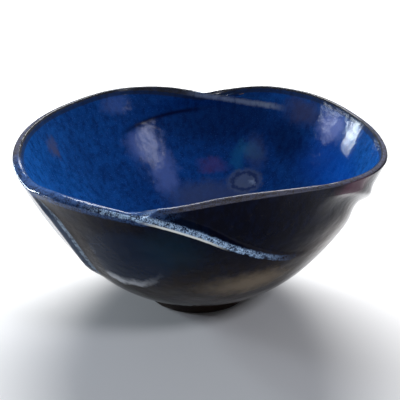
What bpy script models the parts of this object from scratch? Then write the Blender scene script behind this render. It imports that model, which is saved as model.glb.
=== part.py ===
"""Stoneware bowl whose wall is two overlapping lobes that turn like a pinwheel.

Everything is in metres, +Z up.  The origin is the middle of the foot's
underside.  Angles are in degrees, counted anticlockwise seen from above, and
angle 0 faces the front (-Y).
"""
import bpy
import numpy as np

# ---- driving dimensions ---------------------------------------------------
RIM_RADIUS = 0.0904
RIM_HEIGHT = 0.0795
FOOT_RADIUS = 0.0269
FOOT_INNER = 0.0205
FOOT_HEIGHT = 0.0090
FOOT_TAPER = 0.0010
FOOT_EASE = 0.0008
RECESS_HEIGHT = 0.0050
WELL_DEPTH = 0.0012   # how much the floor inside sinks towards its middle
WALL_AT_RIM = ((-90, 0.0043), (-20, 0.0038), (-8, 0.0032), (45, 0.0032), (90, 0.0035),
               (180, 0.0040), (270, 0.0043))  # (angle, thickness)
WALL_AT_FLOOR = 0.0060
THINNEST = 0.0030
LAP = 0.0040          # how far one lobe stands proud of the other
LEDGE = 0.0040        # height over which a lobe's edge steps back
GLAZE = 0.0005
GAP = 0.0003
BULGE = (0.0238, 0.0)         # pull of the curve at the foot: out, up
SHOULDER = (0.01451, 0.03422)  # pull of the curve at the rim: in, down

# ---- the lobes' edges: (angle, height) ------------------------------------
RIGHT_EDGE = ((-70, 0.0680), (-45, 0.0690), (-28, 0.0713), (-20, 0.0745), (-16, 0.0773),
              (-12.5, 0.0801), (-7, 0.0822), (0, 0.0843), (15, 0.0881), (25, 0.0887),
              (40, 0.0872), (62, 0.0832), (85, 0.0795), (110, 0.0788), (142, 0.0801),
              (156, 0.0790), (169, 0.0757), (182, 0.0713), (194, 0.0640), (206, 0.0550),
              (221, 0.0480), (236, 0.0450))
LEFT_EDGE = ((120, 0.0690), (150, 0.0700), (162, 0.0702), (173, 0.0718), (182, 0.0740),
             (192, 0.0765), (208, 0.0786), (230, 0.0781), (258, 0.0772), (278, 0.0757),
             (297, 0.0746), (313, 0.0786), (328, 0.0804), (340, 0.0801), (348, 0.0784),
             (355, 0.0749), (361, 0.0709), (372, 0.0615), (387, 0.0515), (405, 0.0460))
# lower crease of the tucked start of a lobe, counted from its crossing
CREASE = ((-40, 0.0715), (-13, 0.0690), (-3, 0.0676), (9, 0.0657), (20, 0.0630), (30, 0.0596),
          (60, 0.0480))
FRONT_CROSSING = -12.0
BACK_CROSSING = 182.0
LOWEST_EDGE = 0.030

# ---- soft ridges in the outside ------------------------------------------
CREST = ((0.030, -49.0), (0.062, -48.5), (0.069, -50.5), (0.076, -58.0))  # height, angle
CREST_WIDTH = 5.0
CREST_HEIGHT = 0.0020
CREST_SHARPNESS = 1.4
CREST_ROUND = 0.2      # how much its top is rounded, in widths
FOLD = ((34, 0.0850), (46, 0.0825), (61, 0.0732), (80, 0.0580), (100, 0.0480))
FOLD_HEIGHT = 0.0014
FOLD_WIDTH = 0.0030
HOLLOW_DEPTH = 0.0018  # the hollow under the fold
HOLLOW_WIDTH = 0.0060
HOLLOW_DROP = 1.4      # how far it lies under the fold, in widths
LEAN = 0.0025          # how far the right lobe's rim leans in
LEAN_FROM = 0.062      # the height it starts leaning at
LEAN_OVER = 0.028

# ---- where each feature comes and goes: from, over, until, over --------------
LAP_FRONT = (-16.0, 8.0, 12.0, 48.0)     # degrees past the crossing
LAP_BACK = (-16.0, 8.0, 0.0, 33.0)
TUCK_FRONT = (-38.0, 16.0, 8.0, 48.0)
TUCK_BACK = (-38.0, 16.0, 0.0, 33.0)
LEAN_SPAN = (-4.0, 24.0, 40.0, 50.0)
FOLD_SPAN = (34.0, 14.0, 84.0, 20.0)     # degrees from the front
CREST_SPAN = (0.026, 0.012, 0.068, 0.010)  # height
TUCK_START = 0.002     # how far below the crease a tucked lobe starts to rise
TUCK_OVER = 0.009

# ---- how the surfaces are divided ----------------------------------------
# rows are given as shares of the way from the foot to the rim
COLUMNS = 84
TWIST = 55.0
SPLIT = 0.60          # where the lobes leave the lower bowl
SPLIT_GAP = 0.0035
GLAZE_FOOT = 0.034    # where the outer glaze begins
GLAZE_STEP = 0.005
GLAZE_TOP = 0.930     # where the wall's glazes end
LIP_FOOT = 0.938      # where the lip's glaze begins
LIP_START = 0.975     # where the wall rounds over
LOWER_ROWS = 6
UPPER_ROWS = 7
WELL_ROWS = 3
LIP_STEPS = 4
LIP_RISE = 0.0021     # the most the lip rounds up over the wall
SEAM_SHARE = 0.06     # half the gap between the lobes, as a share of a column
SEAM_COLUMN = 45      # the column where the right lobe ends


def smoothstep(x):
    """Zero below 0, one above 1, and a smooth S between."""
    x = np.clip(x, 0.0, 1.0)
    return x * x * (3.0 - 2.0 * x)


def stretch(x, span):
    """One along a stretch of x, easing in and out of it as the span says."""
    start, rise, stop, fall = span
    return smoothstep((x - start) / rise) * (1.0 - smoothstep((x - stop) / fall))


def through(knots, angle):
    """Smooth curve through the knots; constant beyond the first and last."""
    at, value = np.array(knots, float).T
    slope = np.gradient(value, at)
    angle = np.clip(angle, at[0], at[-1])
    i = np.clip(np.searchsorted(at, angle, side="right") - 1, 0, len(at) - 2)
    step = at[i + 1] - at[i]
    s = (angle - at[i]) / step
    start = s * (1.0 - s) ** 2 * step * slope[i]
    end = s * s * (s - 1.0) * step * slope[i + 1]
    return value[i] + (value[i + 1] - value[i]) * smoothstep(s) + start + end


def after(angle, start):
    """Angle turned past start, from -180 up to 180."""
    return (angle - start + 180.0) % 360.0 - 180.0


def edge_height(knots, angle):
    """Height of a lobe's edge, and LOWEST_EDGE where the lobe isn't there."""
    first, last = knots[0][0], knots[-1][0]
    turned = (angle - first) % 360.0 + first
    height = through(knots, turned)
    return np.where(turned <= last, height, LOWEST_EDGE)


def top_height(angle):
    """Height of the bowl's rim: the higher of the two lobes, eased together."""
    right = edge_height(RIGHT_EDGE, angle)
    left = edge_height(LEFT_EDGE, angle)
    ease = 0.0008
    return 0.5 * (right + left + np.sqrt((right - left) ** 2 + ease ** 2))


def base_profile(t):
    """Radius, height and outward normal of the thrown shape.

    t runs from 0 at the foot to 1 at the rim along one cubic curve, and goes
    straight on above 1.
    """
    start = np.array([FOOT_RADIUS, FOOT_HEIGHT])
    end = np.array([RIM_RADIUS, RIM_HEIGHT])
    pull_a = start + np.array(BULGE)
    pull_b = end - np.array(SHOULDER)
    t = np.asarray(t, float)[..., None]
    c = np.clip(t, 0.0, 1.0)
    d = 1.0 - c
    point = d ** 3 * start + 3 * d * d * c * pull_a + 3 * d * c * c * pull_b + c ** 3 * end
    along = 3 * (d * d * (pull_a - start) + 2 * d * c * (pull_b - pull_a) + c * c * (end - pull_b))
    point = point + (t - c) * along
    along = along / np.linalg.norm(along, axis=-1, keepdims=True)
    normal = np.stack([along[..., 1], -along[..., 0]], axis=-1)
    return point[..., 0], point[..., 1], normal


def share_at(height):
    """The t at which the thrown shape reaches a height."""
    table = np.linspace(0.0, 1.3, 400)
    return np.interp(height, base_profile(table)[1], table)


def roll(x):
    """Profile over a rounded edge: 0 at its foot, turning over to 1 at its back."""
    x = np.clip(x, 0.0, 1.0)
    return 1.0 - (1.0 - x * x) ** 1.4


def lapped(angle, height, crossing, knots, span):
    """How much the wall is set back behind a lobe edge that lies over it."""
    past = after(angle, crossing)
    above = roll((height - edge_height(knots, angle)) / LEDGE)
    return above * stretch(past, span)


def tucked(angle, height, crossing, knots, span):
    """How much the start of a lobe stands proud of the inside wall."""
    past = after(angle, crossing)
    below = 1.0 - roll((height - edge_height(knots, angle)) / LEDGE)
    over = smoothstep((height - through(CREASE, past) + TUCK_START) / TUCK_OVER)
    return below * over * stretch(past, span)


def lean_in(angle, height):
    """How far the right lobe's rim leans in, past the front crossing."""
    lean = LEAN * stretch(after(angle, FRONT_CROSSING), LEAN_SPAN)
    return lean * smoothstep((height - LEAN_FROM) / LEAN_OVER)


def outside_shift(angle, height):
    """Outward shift of the outer face from the thrown shape."""
    shift = -LAP * lapped(angle, height, FRONT_CROSSING, LEFT_EDGE, LAP_FRONT)
    shift = shift - LAP * lapped(angle, height, BACK_CROSSING, RIGHT_EDGE, LAP_BACK)
    shift = shift - lean_in(angle, height)
    turn = after(angle, through(CREST, height)) / CREST_WIDTH
    sharp = np.exp(-CREST_SHARPNESS * (np.hypot(turn, CREST_ROUND) - CREST_ROUND))
    tall = stretch(height, CREST_SPAN)
    shift = shift + CREST_HEIGHT * tall * sharp
    off = height - through(FOLD, after(angle, 0.0))
    span = stretch(after(angle, 0.0), FOLD_SPAN)
    shift = shift + FOLD_HEIGHT * span * np.exp(-(off / FOLD_WIDTH) ** 2)
    below = off / HOLLOW_WIDTH + HOLLOW_DROP
    return shift - HOLLOW_DEPTH * span * np.exp(-below ** 2)


def inside_shift(angle, height, t):
    """Shift of the inner face from the thrown shape's outer face."""
    rim = through(WALL_AT_RIM, (angle + 90.0) % 360.0 - 90.0)
    wall = WALL_AT_FLOOR + (rim - WALL_AT_FLOOR) * smoothstep(t)
    shift = -wall - LAP * tucked(angle, height, FRONT_CROSSING, RIGHT_EDGE, TUCK_FRONT)
    shift = shift - LAP * tucked(angle, height, BACK_CROSSING, LEFT_EDGE, TUCK_BACK)
    shift = shift - lean_in(angle, height)
    return np.minimum(shift, outside_shift(angle, height) - THINNEST)


def face(v, rows, side, sink):
    """Grid of points on one face of the wall, sunk by a depth into it.

    v is each column's angle at the rim, and rows are shares of the way from
    foot to rim.  The columns lean round with height, so that they run along
    the lobes' edges.
    """
    v, q = np.meshgrid(v, rows, indexing="ij")
    angle = v + TWIST * np.cos(0.5 * np.pi * np.clip((q - 0.5) / 0.5, 0.0, 1.0))
    t = q / LIP_START * share_at(top_height(angle))
    radius, height, normal = base_profile(t)
    if side == "outer":
        shift = outside_shift(angle, height) - sink
    else:
        shift = inside_shift(angle, height, t) + sink
    r = radius + shift * normal[..., 0]
    z = height + shift * normal[..., 1]
    turn = np.radians(angle)
    return np.stack([r * np.sin(turn), -r * np.cos(turn), z], axis=-1)


def lip(v, sink):
    """Rounded lip: half an ellipse from the outer face over to the inner one."""
    outer = face(v, [LIP_START], "outer", sink)[:, 0]
    inner = face(v, [LIP_START], "inner", sink)[:, 0]
    below = face(v, [LIP_START - 0.02], "outer", sink)[:, 0]
    middle = 0.5 * (outer + inner)
    across = 0.5 * (outer - inner)
    up = outer - below
    up = up / np.linalg.norm(up, axis=1, keepdims=True)
    rise = np.minimum(np.linalg.norm(across, axis=1, keepdims=True), LIP_RISE - sink)
    turns = np.pi * np.arange(1, LIP_STEPS) / LIP_STEPS
    return np.stack([middle + across * np.cos(a) + up * rise * np.sin(a) for a in turns], axis=1)


def build(name, rings, look, closed=True, poles=False):
    """Make an object from rings of points, one ring for each column.

    closed joins the last column to the first.  Otherwise both ends are
    filled, pairing each point of the outer face with one of the inner face.
    poles joins the first point of every column in one, and the last too.
    """
    n, m = rings.shape[:2]
    index = np.arange(n * m).reshape(n, m)
    if poles:
        index[:, 0] = index[0, 0]
        index[:, -1] = index[0, -1]
    reach = np.hypot(rings[..., 0], rings[..., 1]) + rings[..., 2]
    reach = reach.mean(axis=0)
    faces = []
    for i in range(n if closed else n - 1):
        j = (i + 1) % n
        for k in range(m - 1 if poles else m):
            k2 = (k + 1) % m
            a, b, c, d = index[i, k], index[j, k], index[j, k2], index[i, k2]
            if reach[k2] > reach[k]:
                faces += [(a, b, c), (a, c, d)]
            else:
                faces += [(a, b, d), (b, c, d)]
    if not closed:
        for k in range(m // 2 - 1):
            far = m - 1 - k
            faces.append((index[0, k], index[0, k + 1], index[0, far - 1], index[0, far]))
            faces.append((index[-1, far], index[-1, far - 1], index[-1, k + 1], index[-1, k]))
    faces = [tuple(int(p) for p in corners) for corners in faces if len(set(corners)) == len(corners)]
    used = sorted({p for corners in faces for p in corners})
    number = {p: at for at, p in enumerate(used)}
    faces = [[number[p] for p in corners] for corners in faces]
    mesh = bpy.data.meshes.new(name)
    mesh.from_pydata(rings.reshape(-1, 3)[used].tolist(), [], faces)
    mesh.shade_smooth()
    mesh.set_sharp_from_angle(angle=np.radians(40.0))
    mesh.materials.append(look)
    thing = bpy.data.objects.new(name, mesh)
    bpy.context.scene.collection.objects.link(thing)
    return thing


def material(name, colour, roughness):
    look = bpy.data.materials.new(name)
    look.use_nodes = True
    shader = look.node_tree.nodes["Principled BSDF"]
    shader.inputs["Base Color"].default_value = (*colour, 1.0)
    shader.inputs["Roughness"].default_value = roughness
    shader.inputs["Metallic"].default_value = 0.0
    return look


def lathe(name, outline, look):
    """Turn a closed outline of (radius, height) points round the axis."""
    turn = np.radians(np.arange(COLUMNS) * 360.0 / COLUMNS)[:, None]
    r, z = np.array(outline).T
    rings = np.stack([r * np.sin(turn), -r * np.cos(turn), z + 0.0 * turn], axis=-1)
    return build(name, rings, look)


def foot_ring(look):
    """Turned foot: a ring with eased edges under the bowl."""
    top = FOOT_HEIGHT - GAP
    low = FOOT_RADIUS - FOOT_TAPER
    outline = ((FOOT_INNER + FOOT_EASE, 0.0), (low - FOOT_EASE, 0.0), (low, FOOT_EASE),
               (FOOT_RADIUS, top), (FOOT_INNER, top), (FOOT_INNER, FOOT_EASE))
    return lathe("foot_ring", outline, look)


def ring_points(v, outline):
    """The outline's (radius, height) points at the foot end of each column."""
    turn = np.radians(v + TWIST)[:, None]
    r, z = np.array(outline).T
    return np.stack([r * np.sin(turn), -r * np.cos(turn), z + 0.0 * turn], axis=-1)


def well(v, sink):
    """Points from the inner face's foot level in to the axis, sunk by a depth."""
    edge = face(v, [0.0], "inner", 0.0)[0, 0]
    share = np.arange(WELL_ROWS - 1, -1, -1) / WELL_ROWS
    radius = np.hypot(edge[0], edge[1]) * share
    height = edge[2] - sink - WELL_DEPTH * (1.0 - share ** 2)
    return ring_points(v, list(zip(radius, height)))


def lower_rows():
    return np.linspace(0.0, SPLIT, LOWER_ROWS + 1)


def upper_rows():
    return np.linspace(SPLIT, GLAZE_TOP, UPPER_ROWS + 1)


def lower_bowl(v, look):
    """Floor and lower wall, up to where the lobes begin."""
    sink = GLAZE + GAP
    boss = FOOT_INNER - GAP
    under = ring_points(v, ((0.0, RECESS_HEIGHT), (boss, RECESS_HEIGHT), (boss, FOOT_HEIGHT)))
    bare = face(v, [0.0, GLAZE_FOOT - 2.0 * GLAZE_STEP], "outer", 0.0)
    coated = [GLAZE_FOOT - GLAZE_STEP, *lower_rows()[1:]]
    outer = face(v, coated, "outer", sink)
    inner = face(v, lower_rows()[::-1], "inner", sink)
    rings = np.concatenate([under, bare, outer, inner, well(v, sink)], axis=1)
    return build("lower_bowl", rings, look, poles=True)


def lobe(name, v, look):
    """One lobe of the clay wall, from its tucked start to its lapping end."""
    sink = GLAZE + GAP
    rows = np.array([SPLIT + SPLIT_GAP, *upper_rows()[1:], LIP_FOOT, LIP_START])
    outer = face(v, rows, "outer", sink)
    inner = face(v, rows[::-1], "inner", sink)
    over = np.delete(lip(v, sink), LIP_STEPS // 2 - 1, axis=1)
    rings = np.concatenate([outer, over, inner], axis=1)
    rings[0] += SEAM_SHARE * (rings[1] - rings[0])
    rings[-1] += SEAM_SHARE * (rings[-2] - rings[-1])
    return build(name, rings, look, closed=False)


def outer_glaze(v, look):
    """Dark glaze over the whole outside, from the foot to below the lip."""
    rows = np.array([GLAZE_FOOT, *lower_rows()[1:], *upper_rows()[1:]])
    rings = np.concatenate([face(v, rows, "outer", 0.0),
                            face(v, rows[::-1], "outer", GLAZE)], axis=1)
    return build("outer_glaze", rings, look)


def inner_glaze(v, look):
    """Blue glaze over the whole inside, from the floor to below the lip."""
    rows = np.array([*lower_rows(), *upper_rows()[1:]])
    rings = np.concatenate([well(v, GLAZE)[:, ::-1], face(v, rows, "inner", GLAZE),
                            face(v, rows[::-1], "inner", 0.0), well(v, 0.0)], axis=1)
    return build("inner_glaze", rings, look, poles=True)


def lip_glaze(v, look):
    """Brown glaze that breaks over the lip, like a cap along the rim."""
    rows = np.array([LIP_FOOT, LIP_START])
    over = [face(v, rows, "outer", 0.0), lip(v, 0.0), face(v, rows[::-1], "inner", 0.0)]
    under = [face(v, rows, "inner", GLAZE), lip(v, GLAZE)[:, ::-1],
             face(v, rows[::-1], "outer", GLAZE)]
    return build("lip_glaze", np.concatenate(over + under, axis=1), look)


def main():
    for thing in list(bpy.data.objects):
        bpy.data.objects.remove(thing, do_unlink=True)
    clay = material("stoneware", (0.16, 0.10, 0.07), 0.6)
    foot = material("foot_brown", (0.035, 0.020, 0.015), 0.3)
    dark = material("dark_glaze", (0.012, 0.012, 0.022), 0.1)
    blue = material("cobalt_glaze", (0.012, 0.035, 0.30), 0.12)
    brown = material("lip_brown", (0.09, 0.055, 0.035), 0.15)
    v = FRONT_CROSSING + np.arange(COLUMNS) * 360.0 / COLUMNS
    foot_ring(foot)
    lower_bowl(v, clay)
    whole = np.append(v, v[0] + 360.0)
    lobe("right_lobe", whole[:SEAM_COLUMN + 1], clay)
    lobe("left_lobe", whole[SEAM_COLUMN:], clay)
    outer_glaze(v, dark)
    inner_glaze(v, blue)
    lip_glaze(v, brown)


main()
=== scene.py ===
"""Looks of the pinwheel yarn bowl: fine glazed surfaces round the packed clay model.

All lengths are in metres.  Angles are in degrees, counted anticlockwise seen
from above, and angle 0 faces the front (-Y).
"""

import bpy
import numpy as np
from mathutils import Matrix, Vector


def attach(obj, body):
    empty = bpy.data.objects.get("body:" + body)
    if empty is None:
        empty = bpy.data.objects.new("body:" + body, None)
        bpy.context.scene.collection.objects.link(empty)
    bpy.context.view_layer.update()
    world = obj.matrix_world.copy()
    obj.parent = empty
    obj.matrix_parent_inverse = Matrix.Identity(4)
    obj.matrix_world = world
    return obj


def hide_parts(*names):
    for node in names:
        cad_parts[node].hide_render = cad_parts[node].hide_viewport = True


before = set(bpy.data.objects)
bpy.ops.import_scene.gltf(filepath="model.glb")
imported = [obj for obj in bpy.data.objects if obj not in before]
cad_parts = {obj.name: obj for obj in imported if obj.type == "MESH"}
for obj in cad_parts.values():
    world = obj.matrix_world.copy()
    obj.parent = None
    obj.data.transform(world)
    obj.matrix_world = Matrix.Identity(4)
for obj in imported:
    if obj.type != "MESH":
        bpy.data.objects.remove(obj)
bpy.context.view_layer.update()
scene = bpy.context.scene

# ---- sizes of the thrown shape ---------------------------------------------
RIM_RADIUS = 0.0904
RIM_HEIGHT = 0.0795
FOOT_RADIUS = 0.0269
FOOT_INNER = 0.0205
FOOT_HEIGHT = 0.0090
FOOT_TAPER = 0.0010
FOOT_EASE = 0.0008
RECESS_HEIGHT = 0.0050
WELL_DEPTH = 0.0012   # how much the floor inside sinks towards its middle
WALL_AT_RIM = ((-90, 0.0043), (-20, 0.0038), (-8, 0.0026), (45, 0.0025), (90, 0.0035),
               (180, 0.0040), (270, 0.0043))   # (angle, thickness)
WALL_AT_FLOOR = 0.0060
THINNEST = 0.0022
LAP = 0.0040          # how far one lobe stands proud of the other
LEDGE = 0.0040        # height over which a lobe's edge steps back
GLAZE = 0.0005
GAP = 0.0003          # between the glaze and the clay
BULGE = (0.0238, 0.0)          # pull of the curve at the foot: out, up
SHOULDER = (0.01451, 0.03422)  # pull of the curve at the rim: in, down

# ---- the lobes' edges: (angle, height) --------------------------------------
RIGHT_EDGE = ((-70, 0.0680), (-45, 0.0690), (-28, 0.0713), (-20, 0.0745), (-16, 0.0773),
              (-12.5, 0.0801), (-7, 0.0822), (0, 0.0843), (15, 0.0881), (25, 0.0887),
              (40, 0.0872), (62, 0.0832), (85, 0.0795), (110, 0.0788), (142, 0.0801),
              (156, 0.0790), (169, 0.0757), (182, 0.0713), (194, 0.0640), (206, 0.0550),
              (221, 0.0480), (236, 0.0450))
LEFT_EDGE = ((120, 0.0690), (150, 0.0700), (162, 0.0702), (173, 0.0718), (182, 0.0740),
             (192, 0.0765), (208, 0.0786), (230, 0.0781), (258, 0.0772), (278, 0.0757),
             (297, 0.0746), (313, 0.0786), (328, 0.0804), (340, 0.0801), (348, 0.0784),
             (355, 0.0749), (361, 0.0709), (372, 0.0615), (387, 0.0515), (405, 0.0460))
# lower crease of the tucked start of a lobe, counted from its crossing
CREASE = ((-40, 0.0715), (-13, 0.0690), (-3, 0.0676), (9, 0.0657), (20, 0.0630), (30, 0.0596),
          (60, 0.0480))
FRONT_CROSSING = -12.0
BACK_CROSSING = 182.0
LOWEST_EDGE = 0.030

# ---- soft ridges in the outside ---------------------------------------------
CREST = ((0.030, -49.0), (0.062, -48.5), (0.069, -50.5), (0.076, -58.0))  # height, angle
CREST_WIDTH = 5.0
CREST_HEIGHT = 0.0020
CREST_SHARPNESS = 1.4
CREST_ROUND = 0.2      # how much its top is rounded, in widths
FOLD = ((34, 0.0850), (46, 0.0825), (61, 0.0732), (80, 0.0580), (100, 0.0480))
FOLD_HEIGHT = 0.0014
FOLD_WIDTH = 0.0030
HOLLOW_DEPTH = 0.0018  # the hollow under the fold
HOLLOW_WIDTH = 0.0060
HOLLOW_DROP = 1.4      # how far it lies under the fold, in widths
LEAN = 0.0025          # how far the right lobe's rim leans in
LEAN_FROM = 0.062      # the height it starts leaning at
LEAN_OVER = 0.028

# ---- where each feature comes and goes: from, over, until, over --------------
LAP_FRONT = (-16.0, 8.0, 12.0, 48.0)     # degrees past the crossing
LAP_BACK = (-16.0, 8.0, 0.0, 33.0)
TUCK_FRONT = (-38.0, 16.0, 8.0, 48.0)
TUCK_BACK = (-38.0, 16.0, 0.0, 33.0)
LEAN_SPAN = (-4.0, 24.0, 40.0, 50.0)
FOLD_SPAN = (34.0, 14.0, 84.0, 20.0)     # degrees from the front
CREST_SPAN = (0.026, 0.012, 0.068, 0.010)  # height
TUCK_START = 0.002     # how far below the crease a tucked lobe starts to rise
TUCK_OVER = 0.009
ROLL_POWER = 1.4       # how round a lobe's edge is
TWO_ROLLS_OVER = 0.0012  # extra wall over which one roll of the lip becomes two

# ---- colours of the glaze --------------------------------------------------------
NAVY = (0.0030, 0.036, 0.160)
SHADE_NAVY = (0.0005, 0.004, 0.035)
ROYAL = (0.008, 0.086, 0.325)
ROYAL_PAINTED_LIGHT = (0.001, 0.070, 0.480)
PERIWINKLE = (0.060, 0.190, 0.600)
LILAC_REFLECTION = (0.190, 0.270, 0.600)
POOL_GREY = (0.075, 0.105, 0.210)
DEEP_TURQUOISE = (0.015, 0.170, 0.360)
TURQUOISE = (0.030, 0.210, 0.380)
HAZE_GREY = (0.100, 0.130, 0.230)
VIOLET = (0.120, 0.070, 0.220)
SLATE_REFLECTION = (0.065, 0.065, 0.120)
PALE_LILAC_REFLECTION = (0.240, 0.290, 0.620)
RUST_GREY = (0.090, 0.085, 0.130)
OUTSIDE_INK = (0.0015, 0.002, 0.008)
OUTSIDE_BROWN = (0.016, 0.010, 0.007)
OUTSIDE_NAVY = (0.002, 0.005, 0.022)
OUTSIDE_OLIVE = (0.022, 0.018, 0.012)
OUTSIDE_PALE = (0.060, 0.060, 0.060)
CRESCENT_REFLECTION = (0.80, 0.84, 0.90)
PATCH_NAVY = (0.002, 0.010, 0.032)
TEAL = (0.002, 0.025, 0.050)
OLIVE_REFLECTION = (0.330, 0.260, 0.180)
PLUM_REFLECTION = (0.100, 0.025, 0.055)
WARM_BROWN_REFLECTION = (0.090, 0.045, 0.022)
CREST_HIGHLIGHT = (0.22, 0.31, 0.42)
CREST_FACE_REFLECTION = (0.016, 0.040, 0.090)
WEDGE_BROWN = (0.018, 0.014, 0.016)
RIM_OLIVE = (0.060, 0.052, 0.042)
RIM_SLATE = (0.110, 0.120, 0.190)
RIM_LINE = (0.022, 0.024, 0.020)
FLOAT_BLUE = (0.030, 0.095, 0.300)
FLOAT_PALE_AND_REFLECTION = (0.420, 0.600, 0.820)
RIDGE_HIGHLIGHT = (0.260, 0.300, 0.360)
CREAM_HIGHLIGHT = (0.85, 0.88, 0.86)
# bands along the crest: colour, strength, start and end in ridge widths, softness
CREST_BANDS = (
    # painted reflection of the sky on the face left of the crest
    (CREST_FACE_REFLECTION, 0.80, -4.0, 0.62, 0.30),
    (WEDGE_BROWN, 0.85, 0.95, 1.80, 0.50),
    # painted highlight along the top of the crest
    (CREST_HIGHLIGHT, 0.85, 0.62, 0.84, 0.12),
)
EYE_RING = (0.008, 0.030, 0.130)
EYE_GREY = (0.150, 0.190, 0.270)
EYE_HIGHLIGHT = (0.380, 0.460, 0.560)
EYE_GLINT = (0.0291, 0.0525, 0.0366)
EYE_CENTRE = (0.0254, 0.0539, 0.0360)
EYE_SIZE = (0.0078, 0.0058, 0.0050)
GLINT_SIZE = (0.0019, 0.0019, 0.0017)
FOOT_DARK = (0.012, 0.006, 0.004)
FOOT_BROWN = (0.030, 0.017, 0.010)
FOOT_WORN = (0.08, 0.05, 0.03)
CLAY_BROWN = (0.14, 0.085, 0.055)
CLAY_TAN = (0.20, 0.13, 0.09)
CLAY_IRON = (0.05, 0.03, 0.02)
GLAZE_SPECULAR = 0.07
WOBBLE = 0.010        # how ragged the blots' edges are
# width of the line of painted shade along the inside crease
CREASE_SHADE_WIDTH = 0.0011
# where each line shows: from, over, until, over, in degrees past the crossing
# painted shade along the inside crease
CREASE_SHADE_SPAN = (-10.0, 14.0, 20.0, 16.0)
LEDGE_SPAN = (-24.0, 12.0, 25.0, 26.0)
# the ridge inside carries a painted highlight
RIDGE_HIGHLIGHT_SPAN = (-38.0, 10.0, -4.0, 8.0)
EDGE_REACH = 0.03     # how far from an edge the glaze can tell its height over it
CREST_REACH = 6.0     # the same for the crest, in ridge widths
# bands over the edges: from, until, softness, in millimetres over the edge
# the ledge's flecks: partly glaze, partly painted sky reflection
LEDGE_BAND = (0.4, 2.6, 0.9)
# painted highlight: the grey streak along the ridge inside
RIDGE_HIGHLIGHT_BAND = (1.0, 1.6, 1.9)
# painted highlight: the cream line under the front ledge
CREAM_HIGHLIGHT_BAND = (-0.8, 0.1, 0.4)
CREAM_HIGHLIGHT_ANGLES = (-9.0, 2.0, 8.0)         # degrees from the front
LEFT_RIM_ANGLES = (-75.0, -14.0, 12.0)  # degrees from the front
LEFT_RIM_FROM, LEFT_RIM_TO = 3.0, 1.6   # millimetres below the rim where its blue comes in
THIN_FROM, THIN_TO = -0.5, -1.2         # thin glaze only on top of the roll
INNER_LINE = (0.80, 0.97, 0.10)         # share of the way over the lip
# grain sizes: how many to a metre, roughly
CLOUD_SCALE = 42.0
WAVE_SCALE = 95.0
RAGGED_SCALE = 170.0
STREAK_SCALE = 330.0
MOTTLE_SCALE = 420.0
SPECK_SCALE = 1900.0
STREAK_RUN = (1.0, 1.0, 0.3)   # streaks are drawn out down the wall
# blots of another colour, laid one over the other, among them painted light, shade and reflections:
# colour, strength, centre,
# turn about the upright in degrees, half-axes, softness
INSIDE_BLOTS = (
    # painted light: a bright pool low on the right inner wall
    (ROYAL_PAINTED_LIGHT, 0.40, (0.068, 0.028, 0.0540), 20, (0.0160, 0.0260, 0.0130), 0.60),
    # painted shade on the back of the inner wall
    (SHADE_NAVY, 0.55, (0.012, 0.078, 0.0640), 0, (0.0400, 0.0160, 0.0150), 0.60),
    # painted shade on the inner wall, back right
    (SHADE_NAVY, 0.60, (0.050, 0.058, 0.0590), 45, (0.0200, 0.0120, 0.0110), 0.60),
    # painted reflection: three lilac patches on the inner wall, back left
    (LILAC_REFLECTION, 0.55, (-0.030, 0.066, 0.0530), 25, (0.0090, 0.0100, 0.0085), 0.45),
    (LILAC_REFLECTION, 0.55, (-0.018, 0.059, 0.0390), 25, (0.0065, 0.0120, 0.0120), 0.50),
    (LILAC_REFLECTION, 0.30, (-0.0437, 0.0669, 0.0747), 0, (0.0070, 0.0070, 0.0050), 0.60),
    (POOL_GREY, 0.75, (0.008, 0.051, 0.0280), 0, (0.0220, 0.0130, 0.0070), 0.50),
    (DEEP_TURQUOISE, 0.60, (0.0215, 0.0640, 0.0440), 0, (0.0032, 0.0100, 0.0052), 0.70),
    (TURQUOISE, 0.60, (0.0275, 0.0640, 0.0500), 0, (0.0058, 0.0100, 0.0034), 0.70),
    (HAZE_GREY, 0.45, (0.0310, 0.0610, 0.0500), 0, (0.0050, 0.0100, 0.0080), 0.60),
    (VIOLET, 0.55, (0.0080, 0.0610, 0.0420), 0, (0.0070, 0.0070, 0.0035), 0.60),
    # painted reflection: a slate streak under the back right rim
    (SLATE_REFLECTION, 0.70, (0.0550, 0.0610, 0.0735), 45, (0.0270, 0.0100, 0.0055), 0.65),
    # painted reflection: a pale lilac patch high on the right inner wall
    (PALE_LILAC_REFLECTION, 0.60, (0.0690, 0.0440, 0.0710), 55, (0.0080, 0.0090, 0.0070), 0.50),
    (RUST_GREY, 0.60, (-0.0732, 0.0292, 0.0652), 70, (0.0035, 0.0040, 0.0060), 0.60),
)
OUTSIDE_BLOTS = (
    # painted reflection: a pale crescent, which is what the dark patch over it leaves showing
    (CRESCENT_REFLECTION, 0.92, (-0.0335, -0.0660, 0.0470), 20, (0.0150, 0.0240, 0.0175), 0.16),
    (PATCH_NAVY, 1.00, (-0.0310, -0.0690, 0.0525), 20, (0.0185, 0.0300, 0.0200), 0.26),
    (TEAL, 0.50, (-0.0110, -0.0820, 0.0620), 0, (0.0120, 0.0120, 0.0130), 0.80),
    # painted reflection: an olive patch low on the front
    (OLIVE_REFLECTION, 0.55, (0.0240, -0.0620, 0.0370), -25, (0.0210, 0.0130, 0.0070), 0.85),
    # painted reflection: a plum patch under the right rim
    (PLUM_REFLECTION, 0.60, (0.0700, -0.0600, 0.0840), 45, (0.0120, 0.0080, 0.0050), 0.50),
    # painted reflection: warm brown low along the right side
    (WARM_BROWN_REFLECTION, 0.45, (0.0700, -0.0400, 0.0500), 55, (0.0240, 0.0140, 0.0180), 0.60),
)

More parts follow.
